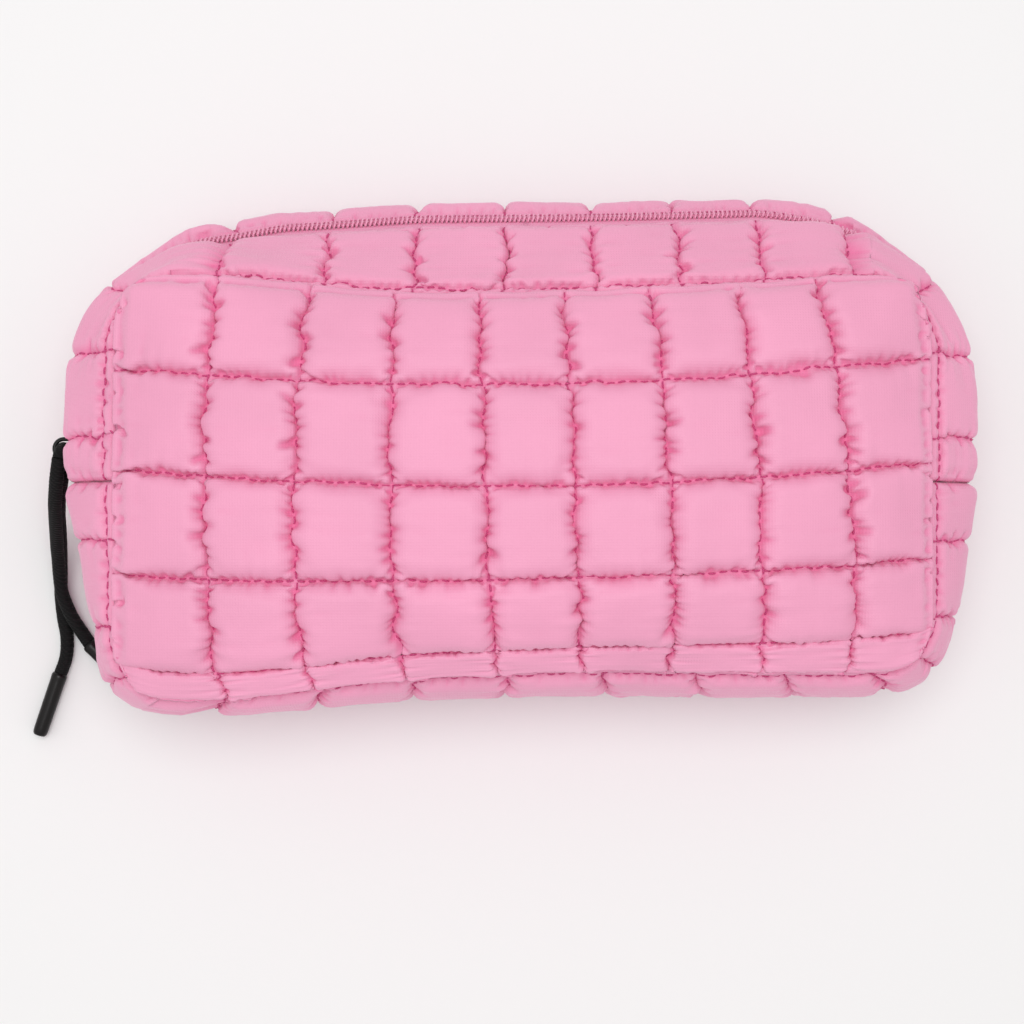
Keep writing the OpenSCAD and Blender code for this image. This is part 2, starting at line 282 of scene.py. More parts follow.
def braid_material():
    """A braided polyester cord: fine crossing strands, matt black, with painted shade where the strands dip.
    """
    material, shader = new_material("black_braid", (0.006, 0.006, 0.007), 0.75)
    place = object_coordinates(material)
    slanting = wave(material, place, "DIAGONAL", Scale=380.0, Distortion=1.5)
    level = wave(material, place, "Y", Scale=520.0, Distortion=2.5)
    both = combine(material, "MULTIPLY", slanting, level)
    # painted shade: darker where the strands dip between each other
    shade = ramp(material, both, (0.002, 0.002, 0.002), (0.012, 0.011, 0.012))
    link(material, shade, shader.inputs["Base Color"])
    add_bump(material, shader, both, 0.7, 0.0003)
    set_inputs(shader, {"Sheen Weight": 0.02, "Specular IOR Level": 0.2})
    return material


def wadding_material():
    """Polyester wadding: off-white, matt, with a tangle of long fibres."""
    material, shader = new_material("white_wadding", (0.85, 0.83, 0.82), 0.95)
    place = object_coordinates(material)
    clumps = noise(material, place, Scale=60.0, Detail=2.0)
    fibres = noise(material, place, Scale=900.0, Detail=6.0, Roughness=0.7, Distortion=6.0)
    both = combine(material, "MULTIPLY", clumps, fibres)
    shade = ramp(material, both, (0.70, 0.68, 0.67), (0.90, 0.88, 0.87), 0.1, 0.45)
    link(material, shade, shader.inputs["Base Color"])
    add_bump(material, shader, both, 0.8, 0.0006)
    set_inputs(shader, {"Sheen Weight": 0.3})
    return material


def spun_material(name, colour, shade_colour, turns, roughness):
    """Spun thread or a moulded coil: fine slanting strands, with painted shade in the line between them."""
    material, shader = new_material(name, colour, roughness)
    twist = wave(material, object_coordinates(material), "DIAGONAL", Scale=turns, Distortion=0.8)
    # painted shade: darker in the line between the strands
    link(material, ramp(material, twist, shade_colour, colour, 0.05, 0.5), shader.inputs["Base Color"])
    add_bump(material, shader, twist, 0.5, 0.0001)
    return material


def moulded_material(name, colour, roughness, shine):
    """A moulded plastic or painted piece with faint wear in its gloss."""
    material, shader = new_material(name, colour, roughness)
    set_inputs(shader, {"Specular IOR Level": shine})
    wear = noise(material, object_coordinates(material), Scale=350.0, Detail=5.0)
    vary_roughness(material, shader, wear, roughness * 0.8, roughness * 1.35)
    add_bump(material, shader, wear, 0.15, 0.0002)
    return material


# ---------------------------------------------------------------- making pieces
def make_piece(name, points, faces, material, slot, body=None):
    mesh = bpy.data.meshes.new(name)
    mesh.from_pydata((np.asarray(points, float).reshape(-1, 3) * MM).tolist(), [], faces)
    mesh.update()
    mesh.materials.append(material)
    mesh.shade_smooth()
    piece = bpy.data.objects.new(name, mesh)
    bpy.context.collection.objects.link(piece)
    if body:
        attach(piece, body)
    return piece


def grid_faces(rows, columns):
    i, j = np.meshgrid(np.arange(rows - 1), np.arange(columns - 1), indexing="ij")
    a = i * columns + j
    return np.stack([a, a + 1, a + columns + 1, a + columns], -1).reshape(-1, 4)


# ---------------------------------------------------------------- the cloth solver
def disjoint_links(rows, columns, step_r, step_c):
    """Slices of grid points a and b = a + step, in groups that share no point."""
    stride = 2 * max(step_r, abs(step_c))
    for start in range(stride):
        stop = rows - step_r if step_r else columns - step_c
        if start >= stop:
            continue
        near = slice(start, stop, stride)
        far = slice(start + (step_r or step_c), stop + (step_r or step_c), stride)
        if step_r:
            yield (
                (near, slice(max(0, -step_c), columns - max(0, step_c))),
                (far, slice(max(0, step_c), columns - max(0, -step_c))),
            )
        else:
            yield (slice(None), near), (slice(None), far)


def settle(start, lifted, free, slack_r, slack_c, lift, rounds, sweeps, ceiling, floor_z):
    """Cloth that is pinned where free is 0, and pushed out by lift mm a round.

    It is longer than start by slack_r and slack_c, as shares, and stands no higher than ceiling."""
    base = start.astype(np.float32)
    points = lifted.astype(np.float32)
    rows, columns = base.shape[:2]
    slack_r = np.broadcast_to(slack_r, free.shape)
    slack_c = np.broadcast_to(slack_c, free.shape)
    free = free.astype(np.float32)[..., None]
    outward = grid_normals(base).astype(np.float32)

    links = []
    stretch, shear, bend = 1.0, 0.25, 0.10
    for step_r, step_c, strength in (
        (1, 0, stretch), (0, 1, stretch), (1, 1, shear), (1, -1, shear), (2, 0, bend), (0, 2, bend),
    ):
        for a, b in disjoint_links(rows, columns, step_r, step_c):
            rest = np.linalg.norm(base[b] - base[a], axis=-1)
            share_r = step_r / (step_r + abs(step_c))
            spare = share_r * (slack_r[a] + slack_r[b]) + (1 - share_r) * (slack_c[a] + slack_c[b])
            rest = (rest * (1 + 0.5 * spare)).astype(np.float32)[..., None]
            weight = np.maximum(free[a] + free[b], 1)
            links.append((a, b, rest, strength, free[a] / weight, free[b] / weight))

    for _ in range(rounds):
        points += free * lift * grid_normals(points).astype(np.float32)
        for _ in range(sweeps):
            for a, b, rest, strength, share_a, share_b in links:
                gap = points[b] - points[a]
                length = np.sqrt((gap * gap).sum(-1, keepdims=True)) + 1e-6
                pull = gap * (strength * (1 - rest / length))
                points[a] += share_a * pull
                points[b] -= share_b * pull
        height = ((points - base) * outward).sum(-1, keepdims=True)
        points -= outward * np.clip(height - ceiling, 0, None) * 0.5 * free
        if floor_z is not None:
            points[..., 2] = np.maximum(points[..., 2], floor_z)
    return points.astype(float)


# ---------------------------------------------------------------- base shapes
def round_corner(a, b):
    """Bends a unit corner square onto a quarter disc."""
    return a * np.sqrt(1 - b * b / 2), b * np.sqrt(1 - a * a / 2)


def panel_outline(x, y, low_y, high_y):
    """Rounds the corners of a flat panel's points."""
    middle = (low_y + high_y) / 2
    half_height = (high_y - low_y) / 2
    rise = y - middle
    a = np.clip((np.abs(x) - (HALF_LENGTH - CORNER_R)) / CORNER_R, 0, 1)
    b = np.clip((np.abs(rise) - (half_height - CORNER_R)) / CORNER_R, 0, 1)
    new_a, new_b = round_corner(a, b)
    return x + np.sign(x) * (new_a - a) * CORNER_R, y + np.sign(rise) * (new_b - b) * CORNER_R


def falloff(share):
    return 1 - np.abs(np.clip(share, -1, 1)) ** 3


def slump(points):
    """How the soft bag has settled: its front seam sags in places and is drawn up along the base."""
    x, y, z = np.moveaxis(points, -1, 0)
    height = np.clip(z / FRONT_SEAM_Z, 0, 1)
    spots = (-112, -85, -34, 20, 75, 96, 112)
    zip_side = smooth_interp(x, spots, (4.0, 4.3, -0.8, 0.3, 3.0, 5.5, 3.0))
    base_side = smooth_interp(x, spots, (-2.0, -5.0, 1.5, 3.6, 2.4, 3.0, 3.5))
    shift = zip_side * smooth_step((y - 5) / 35) + base_side * smooth_step(-(y + 30) / 37)
    sag = 5.5 * smooth_step(-(x + 22) / 62) - 2.0 * smooth_step(-(x + 78) / 20)
    droop = sag * smooth_step((y - 28) / 22) * smooth_step((z - 4) / 16)
    return np.stack([x, y + shift * height - droop * smooth_step((52 - z) / 12), z], -1)


def smooth_interp(x, spots, values):
    return sum(np.interp(x + k, spots, values) for k in (-12, -6, 0, 6, 12)) / 5


def front_base(x, y):
    x, y = panel_outline(x, y, BASE_SEAM_Y, FRONT_SEAM_Y)
    middle = (BASE_SEAM_Y + FRONT_SEAM_Y) / 2
    half_height = (FRONT_SEAM_Y - BASE_SEAM_Y) / 2
    z = FRONT_SEAM_Z + CROWN * falloff(x / HALF_LENGTH) * falloff((y - middle) / half_height)
    return slump(np.stack([x, y, z], -1))


def back_base(x, y):
    x, y = panel_outline(x, y, BASE_SEAM_Y, BACK_SEAM_Y)
    edge = np.minimum(HALF_LENGTH - np.abs(x), np.minimum(BACK_SEAM_Y - y, y - BASE_SEAM_Y))
    return np.stack([x, y, 5.0 - 1.4 * smooth_step(edge / 9)], -1)


def end_x(t):
    return HALF_LENGTH + 15 * np.sin(np.pi * t)


def zip_side_y(t):
    sway = np.where(t < 0.5, 5.0, 2.0)
    return FRONT_SEAM_Y + 22 * t + 15 * np.sin(np.pi * t) - sway * np.sin(2 * np.pi * t)


def base_y(t):
    return BASE_SEAM_Y - 6.5 * np.sin(np.pi * t)


def level_z(t):
    return 55 - 50 * t + 5 * np.sin(np.pi * t)


def end_bulge(x, t):
    """How much further the padding beside the zip stands out at the bag's ends, in mm.

    That leaves the zip in a groove."""
    groove = np.exp(-(((t - 0.31) / 0.13) ** 2)) + 0.25 * np.exp(-(((t - 0.70) / 0.12) ** 2))
    return 3.4 * groove * smooth_step((np.abs(x) - 70) / 40)


def around_bend(gap, radius):
    """How far round a bend a crossing lies that is gap mm past the bend's start, or before it if negative."""
    return np.where(gap < 0, gap, radius * np.arcsin(np.clip(gap / radius, 0, 1)))


def zip_path(u, t, inset=0.0):
    """A point on the zip gusset. u runs 0 to 5: left side, left corner, zip side, right corner, right side.

    t runs 0 to 1 from the front seam to the back seam, and inset is how far inside the outer face it is. A
    crossing keeps its x on the zip side, and its y on the ends, while the corners widen towards the zip."""
    u, t, inset = np.broadcast_arrays(np.asarray(u, float), t, inset)
    bow = np.sin(np.pi * t)
    wide = CORNER_R + 44 * bow
    tall = CORNER_R + 22 * bow + 16 * np.exp(-(((t - 0.27) / 0.12) ** 2))
    run, bend_y = end_x(t) - wide, zip_side_y(t) - tall
    seam_run, seam_y = HALF_LENGTH - CORNER_R, FRONT_SEAM_Y - CORNER_R
    right = u > 2.5
    side = np.where(right, 5 - u, u)
    from_middle = np.maximum(2.5 - side, 0) * 2 * seam_run
    over = np.arcsin(np.clip((from_middle - run) / wide, 0, 1))
    most = np.arcsin((seam_run - run) / wide)
    up_side = around_bend(lerp(JOIN_Y, seam_y, np.clip(side, 0, 1)) - bend_y, tall)
    in_corner = np.clip(side - 1, 0, 1)
    past_side = lerp(around_bend(seam_y - bend_y, tall), tall * (np.pi / 2 - most), in_corner)
    reach = np.where(side < 1, up_side, past_side)
    turn = np.where(side > 2, np.pi / 2 - over, np.maximum(reach, 0) / tall)
    x = np.where(side > 2, np.minimum(from_middle, run), run) + (wide - inset) * np.cos(turn)
    y = bend_y + np.where(side > 2, 0, np.minimum(reach, 0)) + (tall - inset) * np.sin(turn)
    bulge = end_bulge(x, t) * (0.45 + 0.55 * smooth_step((34 - y) / 30))
    cover = 1.6 * np.exp(-(((t - 0.33) / 0.10) ** 2)) - 3.2 * smooth_step((t - 0.36) / 0.12)
    bulge = bulge + cover * np.sin(2 * turn) * smooth_step((1 - t) / 0.2)
    x = x + bulge * np.cos(turn)
    y = y + bulge * np.sin(turn)
    return slump(np.stack([np.where(right, x, -x), y, level_z(t)], -1))


def base_path(u, t, inset=0.0):
    """A point on the base gusset. u runs 0 to 5: right side, right corner, base, left corner, left side.

    t and inset are as in zip_path."""
    u, t, inset = np.broadcast_arrays(np.asarray(u, float), t, inset)
    bow = np.sin(np.pi * t)
    wide, tall = CORNER_R + 6 * bow, CORNER_R + 22 * bow
    run, bend_y = end_x(t) - wide, base_y(t) + tall
    seam_y = BASE_SEAM_Y + CORNER_R
    left = u > 2.5
    side = np.where(left, 5 - u, u)
    down_side = around_bend(bend_y - lerp(JOIN_Y, seam_y, np.clip(side, 0, 1)), tall)
    in_corner = np.clip(side - 1, 0, 1)
    past_side = lerp(around_bend(bend_y - seam_y, tall), tall * np.pi / 2, in_corner)
    reach = np.where(side < 1, down_side, past_side)
    turn = np.maximum(reach, 0) / tall
    across = np.clip((2.5 - side) * 2, 0, 1)
    bulge = end_bulge(end_x(t), t) * smooth_step((1.2 - side) / 1.2)
    x = run * np.where(side > 2, across, 1) + (wide - inset + bulge) * np.cos(turn)
    y = bend_y - np.minimum(reach, 0) - (tall - inset) * np.sin(turn)
    pinch = np.where(left, 4.5, 2.5) * bow
    x = x - pinch * smooth_step((-4 - y) / 34) * smooth_step((y + 70) / 22)
    return slump(np.stack([np.where(left, -x, x), y, level_z(t)], -1))


# ---------------------------------------------------------------- quilting
def quilt_grid(columns_at, rows_at, per_column, per_row):
    """Flat x, y of a quilted panel, and the grid's row and column numbers that are stitched.

    columns_at holds each upright line's x at the top, middle and bottom, and rows_at each level
    line's y at the left, middle and right, edges included."""
    u = np.arange(len(columns_at)) * per_column
    v = np.arange(len(rows_at)) * per_row
    column, row = np.arange(u[-1] + 1), np.arange(v[-1] + 1)
    lines_x = np.array([three_point(*c, row / row[-1]) for c in columns_at])
    lines_y = np.array([three_point(*r, column / column[-1]) for r in rows_at])
    x = np.array([np.interp(column, u, lines_x[:, i]) for i in row])
    y = np.array([np.interp(row, v, lines_y[:, j]) for j in column]).T
    return x[::-1], y[::-1], v[-1] - v[::-1], u


def stations(marks, spacing):
    """Evenly filled stations between marks, and which of them are the marks."""
    out, at = [marks[0]], [0]
    for a, b, length in zip(marks[:-1], marks[1:], spacing):
        n = max(2, int(round(length)))
        out += [a + (b - a) * (k + 1) / n for k in range(n)]
        at.append(len(out) - 1)
    return np.array(out), np.array(at)


def distance_to(lines, count, spacing):
    """How far each of count grid lines is from the nearest of some lines, in mm."""
    return np.abs(np.arange(count)[:, None] - np.asarray(lines)[None, :]).min(1) * spacing


def edge_distance(shape, step_r, step_c):
    """How far each point of a grid is from the grid's nearest edge, in mm."""
    rows, columns = shape
    row_gap = distance_to([0, rows - 1], rows, step_r)[:, None]
    column_gap = distance_to([0, columns - 1], columns, step_c)[None, :]
    return np.minimum(row_gap, column_gap)


def finer(grid):
    """Twice as many points each way, on a smooth curve through the old ones."""
    for _ in (0, 1):
        padded = np.concatenate([2 * grid[:1] - grid[1:2], grid, 2 * grid[-1:] - grid[-2:-1]])
        between = (9 * (padded[1:-2] + padded[2:-1]) - padded[:-3] - padded[3:]) / 16
        out = np.empty((2 * len(grid) - 1, *grid.shape[1:]))
        out[0::2], out[1::2] = grid, between
        grid = np.swapaxes(out, 0, 1)
    return grid


def nearness(lines, count, spacing, reach):
    """How near each grid line is to a stitched one: 1 on it, fading over reach mm."""
    return np.exp(-distance_to(lines, count, spacing) / reach)


def sew_down(base, rows_sewn, columns_sewn, wander, tug, sink, edge_sink):
    """The base with its stitches and edges pulled in, unevenly, and 1 where a point is free, else 0."""
    outward = grid_normals(base)
    free = np.ones(base.shape[:2])
    free[rows_sewn] = 0
    free[:, columns_sewn] = 0
    edge = np.zeros(free.shape, bool)
    edge[[0, -1]] = True
    edge[:, [0, -1]] = True
    on_column, on_row = np.zeros(free.shape), np.zeros(free.shape)
    on_column[1:-1, columns_sewn[1:-1]] = 1
    on_row[rows_sewn[1:-1], 1:-1] = 1
    start = base - outward * np.where(edge, edge_sink, np.where(free > 0, 0, sink))[..., None]
    start += unit(np.gradient(base, axis=1)) * (on_column * 0.5 * wander)[..., None]
    start += unit(np.gradient(base, axis=0)) * (on_row * 0.16 * tug)[..., None]
    start += outward * ((1 - free) * ~edge * 0.25 * tug)[..., None]
    return start, free


def add_creases(points, gap_r, gap_c, step_r, step_c, rng, gathers):
    """The cloth with the small creases that the stitches pull into it.

    gap_r and gap_c are the distances to the nearest sewn row and column, in mm."""
    shape = points.shape[:2]
    down_column = smooth_noise(rng, shape, 0.7 / step_r, 5.0 / step_c)
    along_row = smooth_noise(rng, shape, 5.0 / step_r, 0.8 / step_c)
    slow = smooth_noise(rng, shape, 2.6 / step_r, 2.6 / step_c)
    gust = np.clip(0.6 + 0.7 * smooth_noise(rng, shape, 5 / step_r, 5 / step_c), 0, 2)
    pull_c = np.exp(-gap_c / 3.6) * (1 - np.exp(-gap_c / 0.7)) * gathers
    pull_r = np.exp(-gap_r / 3.2) * (1 - np.exp(-gap_r / 0.7))
    crease = 0.45 * down_column * pull_c + 0.32 * along_row * pull_r * gust + 0.11 * slow
    crease = crease * (1 - np.exp(-np.minimum(gap_r, gap_c) / 0.5))
    crease = crease * smooth_step((edge_distance(shape, step_r, step_c) - 1.0) / 2.5)
    return points + grid_normals(points) * crease[..., None]


def crease_shade_map(points, gap_r, gap_c):
    """How deep in a stitch line or a crease each point is, from 0 to 1, which the nylon gets as painted
    shade:
    most along the upright stitch lines, less along the level ones, and more down in the hollows.
    """
    smooth = points.copy()
    for _ in range(6):
        smooth[1:-1, 1:-1] = (
            smooth[:-2, 1:-1] + smooth[2:, 1:-1] + smooth[1:-1, :-2] + smooth[1:-1, 2:]
        ) / 4
    hollow = ((smooth - points) * grid_normals(points)).sum(-1)
    line = np.maximum(0.22 * np.exp(-((gap_r / 0.8) ** 2)), 0.6 * np.exp(-((gap_c / 0.9) ** 2)))
    return np.clip(line + 1.5 * np.clip(hollow, 0, 0.4), 0, 1)


def quilt(base, rows_sewn, columns_sewn, rng, gather_r, gather_c, puff, sink, edge_sink, rounds,
          floor_z=None, flat_edge=1.5, fullness=1.0, slack=0.05):
    """Cloth over base, sewn along rows and columns, and blown up between them.

    gather_r and gather_c are the extra length beside the sewn columns and rows, and slack is that of the
    whole cloth, as shares. puff is how high a cell may stand, and sink and edge_sink are how far in the
    stitches and the edges lie, in mm. Returns the cloth, how deep in a crease each point is as the amount of
    painted shade there, the base, and the sewn rows and columns, all on a grid twice as fine."""
    rows, columns = base.shape[:2]
    outward = grid_normals(base)
    step_r = np.linalg.norm(base[rows // 2 + 1, columns // 2] - base[rows // 2, columns // 2])
    step_c = np.linalg.norm(base[rows // 2, columns // 2 + 1] - base[rows // 2, columns // 2])
    gathers = min(1, gather_r / 0.2)
    wander = smooth_noise(rng, (rows, columns), 1.7 / step_r, 0.3)
    tug = smooth_noise(rng, (rows, columns), 1.1 / step_r, 1.1 / step_c)
    start, free = sew_down(base, rows_sewn, columns_sewn, wander * gathers, tug, sink, edge_sink)

    dome_r = 1 - nearness(rows_sewn, rows, step_r, 2.2)[:, None]
    dome_c = 1 - nearness(columns_sewn, columns, step_c, 2.2)[None, :]
    dome = (dome_r * dome_c) ** 0.6
    near_end = smooth_step((np.abs(base[..., 0]) - FULL_PUFF_X) / 12)
    puff = puff * fullness * lerp(1.0, END_PUFF, near_end)
    slack_r = slack + gather_r * nearness(columns_sewn, columns, step_c, 4.5)[None, :]
    slack_c = slack + gather_c * nearness(rows_sewn, rows, step_r, 3.5)[:, None]
    uneven = 1 + 0.25 * smooth_noise(rng, (rows, columns), 4 / step_r, 4 / step_c)
    lifted = start + outward * (0.45 * puff * dome * free * np.clip(uneven, 0.5, 1.5))[..., None]
    lifted += outward * (0.3 * free * tug)[..., None]
    inside = smooth_step((edge_distance((rows, columns), step_r, step_c) - flat_edge) / 3.5)
    ceiling = (puff * (0.12 + 0.88 * inside))[..., None]
    points = settle(
        start, lifted, free, slack_r * uneven, slack_c * uneven, 0.16, rounds, 5, ceiling, floor_z
    )
    if floor_z is not None:
        points[..., 2] = np.maximum(points[..., 2], floor_z)

    points, base = finer(points), finer(base)
    rows_sewn, columns_sewn = rows_sewn * 2, columns_sewn * 2
    step_r, step_c = step_r / 2, step_c / 2
    gap_r = distance_to(rows_sewn, base.shape[0], step_r)[:, None]
    gap_c = distance_to(columns_sewn, base.shape[1], step_c)[None, :]
    points = add_creases(points, gap_r, gap_c, step_r, step_c, rng, gathers)
    if floor_z is not None:
        points[..., 2] = np.maximum(points[..., 2], floor_z)
    return points, crease_shade_map(points, gap_r, gap_c), base, rows_sewn, columns_sewn


# ---------------------------------------------------------------- layers, threads and tubes
def solid_between(outer, inner):
    """A closed solid between two grids."""
    rows, columns = outer.shape[:2]
    skin = grid_faces(rows, columns)
    count = rows * columns
    index = np.arange(count).reshape(rows, columns)
    rim = np.concatenate([index[0, :-1], index[:-1, -1], index[-1, :0:-1], index[:0:-1, 0]])
    ahead = np.roll(rim, -1)
    edge = np.stack([ahead, rim, rim + count, ahead + count], -1)
    points = np.concatenate([outer.reshape(-1, 3), inner.reshape(-1, 3)])
    return points, np.concatenate([skin, skin[:, ::-1] + count, edge]).tolist()


def lowest_nearby(height, reach):
    """The lowest value within so many grid steps."""
    low = height
    for axis in (0, 1):
        padded = np.pad(low, [(reach, reach) if a == axis else (0, 0) for a in (0, 1)], mode="edge")
        along = np.arange(low.shape[axis])
        low = np.min([np.take(padded, along + k, axis) for k in range(2 * reach + 1)], axis=0)
    return low


# Stores each point's painted shade, from its stitch lines and creases, for the nylon's colour.
def store_shade_map(piece, painted_shade):
    attribute = piece.data.attributes.new("painted_shade", "FLOAT", "POINT")
    attribute.data.foreach_set("value", np.asarray(painted_shade, np.float32).ravel())


def run_length(line):
    """How far along a line of points each point is."""
    return np.concatenate([[0], np.cumsum(np.linalg.norm(np.diff(line, axis=0), axis=1))])


def tube_faces(first, rings, sides):
    """Faces of a closed tube whose rings of points start at point number first."""
    faces = []
    for k in range(rings - 1):
        for m in range(sides):
            a, b = first + k * sides + m, first + k * sides + (m + 1) % sides
            faces.append((a, b, b + sides, a + sides))
    last = first + (rings - 1) * sides
    faces.append(tuple(first + m for m in reversed(range(sides))))
    faces.append(tuple(last + m for m in range(sides)))
    return faces


def dashes(lines, length=2.2, gap=0.8, radius=0.3):
    """Thread dashes along lines of points, as closed capsules."""
    shares = np.array([0, 0.12, 0.5, 0.88, 1.0])
    girth = np.array([0.08, 0.85, 1.0, 0.85, 0.08])[:, None, None] * radius
    sides = 6
    around = (np.arange(sides) * 2 * np.pi / sides)[None, :, None]
    points, faces = [], []
    for line, up in lines:
        run = run_length(line)
        at = 0.6
        while at + length < run[-1]:
            s = at + shares * length
            centre = np.stack([np.interp(s, run, line[:, k]) for k in range(3)], -1)
            lift = unit(np.stack([np.interp(s, run, up[:, k]) for k in range(3)], -1))
            along = unit(centre[-1] - centre[0])
            across = unit(np.cross(along, lift))
            over = np.cross(across, along)
            ring = centre[:, None] + over[:, None] * (np.cos(around) + 0.9) * girth
            ring = ring + across[:, None] * np.sin(around) * girth
            faces += tube_faces(len(points) * len(shares) * sides, len(shares), sides)
            points.append(ring.reshape(-1, 3))
            at += length + gap
    return np.concatenate(points), faces


def tube(path, radius, sides, relief=None, taper=None):
    """A closed tube along a path. relief(s, angle) adds to the radius, in mm."""
    path = np.asarray(path, float)
    along = unit(np.gradient(path, axis=0))
    normal = unit(np.cross(along[0], [0.3, 0.2, 1.0]))
    run = run_length(path)
    angle = np.arange(sides) * 2 * np.pi / sides
    rings = []
    for k, (p, a) in enumerate(zip(path, along)):
        normal = unit(normal - a * (normal @ a))
        other = np.cross(a, normal)
        r = np.full(sides, radius * (taper[k] if taper is not None else 1.0))
        if relief:
            r = r + relief(run[k], angle)
        out = np.cos(angle)[:, None] * normal + np.sin(angle)[:, None] * other
        rings.append(p + r[:, None] * out)
    return np.concatenate(rings), tube_faces(0, len(path), sides)


def smooth_route(route, spacing):
    """A smooth curve through the points of a route, sampled every spacing mm."""
    p = np.asarray(route, float)
    p = np.concatenate([[2 * p[0] - p[1]], p, [2 * p[-1] - p[-2]]])
    out = []
    for k in range(1, len(p) - 2):
        n = max(2, int(np.linalg.norm(p[k + 1] - p[k]) / spacing))
        for f in np.arange(n) / n:
            out.append(
                0.5
                * (
                    2 * p[k]
                    + (p[k + 1] - p[k - 1]) * f
                    + (2 * p[k - 1] - 5 * p[k] + 4 * p[k + 1] - p[k + 2]) * f**2
                    + (3 * p[k] - p[k - 1] - 3 * p[k + 1] + p[k + 2]) * f**3
                )
            )
    out.append(p[-2])
    return np.array(out)


# ---------------------------------------------------------------- the pull cord, made first
LEG_A = (
    (-130.74, -4.94, 32), (-131.3, -7.7, 31.4), (-132, -10.5, 30), (-134, -16, 25),
    (-134.9, -18.5, 21.6), (-135.8, -21, 18), (-137.2, -26, 11), (-138.4, -31.5, 5.4),
    (-138.8, -34.6, 3.6), (-139, -38, 2.6), (-139.1, -41.5, 2.1), (-139, -45, 2),
    (-138.2, -51.5, 2), (-137.2, -57, 2), (-137.4, -63, 2), (-139.4, -69, 2),
)
LEG_B = (
    (-130.74, -4.94, 38), (-131.3, -8.2, 37.4), (-132, -11.4, 36), (-133.6, -17, 31),
    (-134.4, -19.7, 27.6), (-135.2, -22.4, 24), (-136.6, -27.6, 17.2),
    (-137.2, -30.2, 14.2), (-137.6, -33, 11.4), (-137.9, -36, 9.3), (-138, -39, 7.8),
    (-137.8, -42, 7), (-137.2, -45, 6.4), (-135.2, -50.6, 4.7), (-132.6, -55.4, 2.8),
    (-129.8, -59.8, 2),
)
LEG_A_LENGTH = 77.9
LEG_B_LENGTH = 70.8
LEG_A_EXIT = (-130.74, -4.94, 32)
LEG_B_EXIT = (-130.74, -4.94, 38)
CORD_R = 2.0
CORD_SIDES = 24
FOLD_CENTRE = (-130.738, -4.942, 35.0)
FOLD_R = 3
FOLD_TURN = 11.3          # how far the fold faces towards the bag, in degrees
TIP_LENGTH = 19.0
TIP_R = 2.35


def braid(s, angle):
    """The relief of twelve crossing strands, s mm along the cord."""
    strands = np.sin(6 * angle + s * 2.4) * np.sin(6 * angle - s * 2.4)
    return 0.11 * np.abs(strands) - 0.09


def make_fold(cloth):
    """The cord's fold through the bail, a half ring of its own."""
    turn = np.radians(FOLD_TURN)
    ahead = np.array([math.sin(turn), math.cos(turn), 0.0])
    up = np.array([0, 0, 1.0])
    swing = np.linspace(-np.pi / 2, np.pi / 2, 30)[:, None]
    path = np.array(FOLD_CENTRE) + FOLD_R * (np.cos(swing) * ahead + np.sin(swing) * up)
    points, faces = tube(path, CORD_R - 0.1, CORD_SIDES, braid)
    fold = make_piece("cord_fold", points, faces, cloth, "cord", "pull")
    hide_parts("cord_bight")
    return fold


def make_tip(key, route, heading, glossy):
    """The moulded sleeve on a leg's end, lying flat and a little thicker near its mouth."""
    forward = unit(np.array([*heading, 0.0]))
    end = np.array([*route[-1][:2], TIP_R])
    steps = np.linspace(0, 1, 40)
    along = end - forward * 1.0 + steps[:, None] * forward * (TIP_LENGTH + 0.5)
    spots = [0, 0.02, 0.06, 0.10, 0.90, 0.97, 1]
    girth = np.interp(steps, spots, [0.86, 0.97, 1, 0.97, 0.93, 0.88, 0.72])
    points, faces = tube(along, TIP_R, CORD_SIDES, None, girth)
    points[:, 2] = np.maximum(points[:, 2], 0.02)
    tip = make_piece("cord_tip_" + key + "_sleeve", points, faces, glossy, "cord_tip", "pull")
    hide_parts("cord_tip_" + key)
    return tip


def make_cords():
    cloth = braid_material()
    glossy = moulded_material("black_tip", (0.006, 0.005, 0.005), 0.30, 0.25)
    bight = make_fold(cloth)
    for key, route, heading, leaves_at, length in (
        ("a", LEG_A, (-6, -18), LEG_A_EXIT, LEG_A_LENGTH),
        ("b", LEG_B, (13, -13), LEG_B_EXIT, LEG_B_LENGTH),
    ):
        tip = make_tip(key, route, heading, glossy)
        path = smooth_route(route, 0.5)
        points, faces = tube(path, CORD_R, CORD_SIDES, braid)
        leg = make_piece("pull_cord_" + key, points, faces, cloth, "cord", "pull")
        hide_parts("pull_cord_leg_" + key)
        tuple(v * MM for v in leaves_at)


# ---------------------------------------------------------------- quilted pieces
# Where each of the front panel's stitch lines crosses the left end, the middle and the right end (or the
# zip side, the middle and the base side), in millimetres. A least-squares fit in a scratch script read
# them from the photo, and they are its values rounded to whole millimetres
FRONT_COLUMNS = (
    (-112, -112, -112), (-83, -85, -79), (-58, -61, -56), (-35, -35, -32), (-12, -10, -7),
    (11, 14, 16), (34, 39, 39), (58, 63, 64), (79, 88, 87), (112, 112, 112),
)
FRONT_ROWS = (
    (40, 40, 40), (17, 13, 20), (-9, -14, -7), (-37, -39, -33), (-60, -60, -56), (-67, -67, -67),
)
PANEL_THICKNESS = (0.5, 3.4, 3.9)     # how deep the shell, wadding and lining end, in mm
BACK_THICKNESS = (0.5, 2.0, 2.4)
GUSSET_THICKNESS = (0.5, 2.8, 3.2)


def spaced(count, margin, step):
    """Every so many grid lines, from one margin to the other."""
    return np.unique(np.append(np.arange(margin, count - margin, step), count - 1 - margin))


